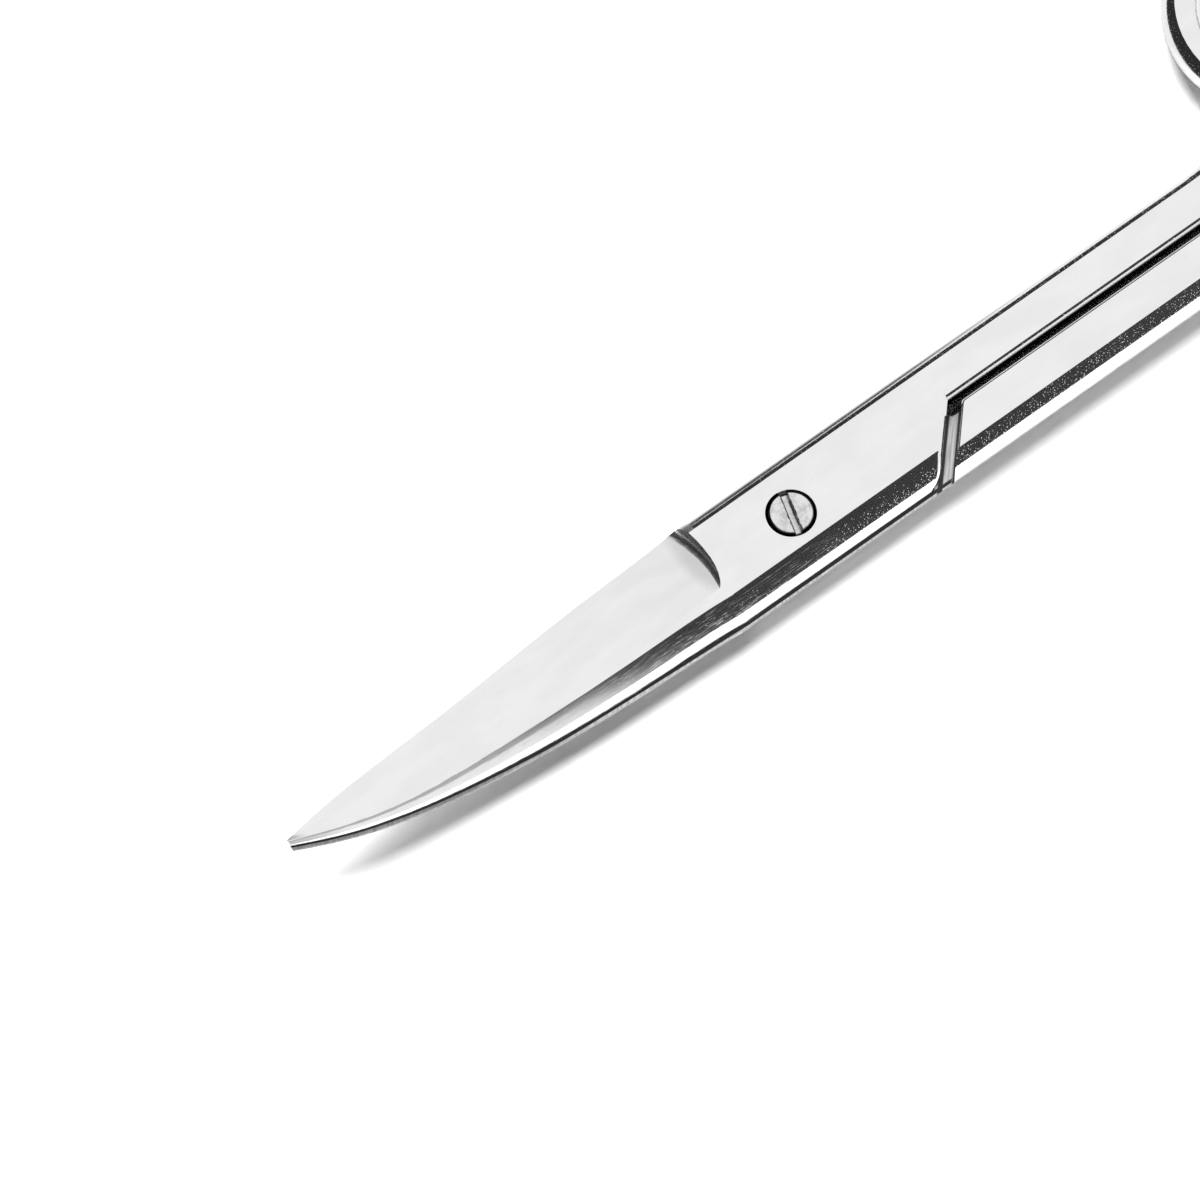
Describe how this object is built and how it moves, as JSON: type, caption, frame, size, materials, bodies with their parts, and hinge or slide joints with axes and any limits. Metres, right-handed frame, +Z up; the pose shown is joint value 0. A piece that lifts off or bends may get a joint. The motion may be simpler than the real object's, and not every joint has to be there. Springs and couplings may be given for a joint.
{
  "type": "dissecting scissors",
  "caption": "Small polished steel dissecting scissors with slim curved sharp-pointed blades, a half-lapped slotted screw joint, straight shanks and oval finger rings.",
  "frame": {"origin": "on the pivot axis, in the plane that the closed scissors rest on", "axes": "+X along the shanks towards the finger rings, +Y towards the upper half's ring, +Z up along the pivot axis"},
  "size_m": [0.1449, 0.0532, 0.0058],
  "materials": {
    "upper_half": "polished stainless steel",
    "lower_half": "polished stainless steel",
    "joint_screw": "turned steel with a dull slotted head"
  },
  "bodies": {
    "lower": {"lower_half": "lower_half", "joint_screw": "joint_screw"},
    "upper": {"upper_half": "upper_half"}
  },
  "joints": [
    {"name": "blade_pivot", "type": "hinge", "parent": "lower", "child": "upper", "pos_m": [0, 0, 0.00255], "axis": [0, 0, 1], "range_deg": [0, 90]}
  ]
}
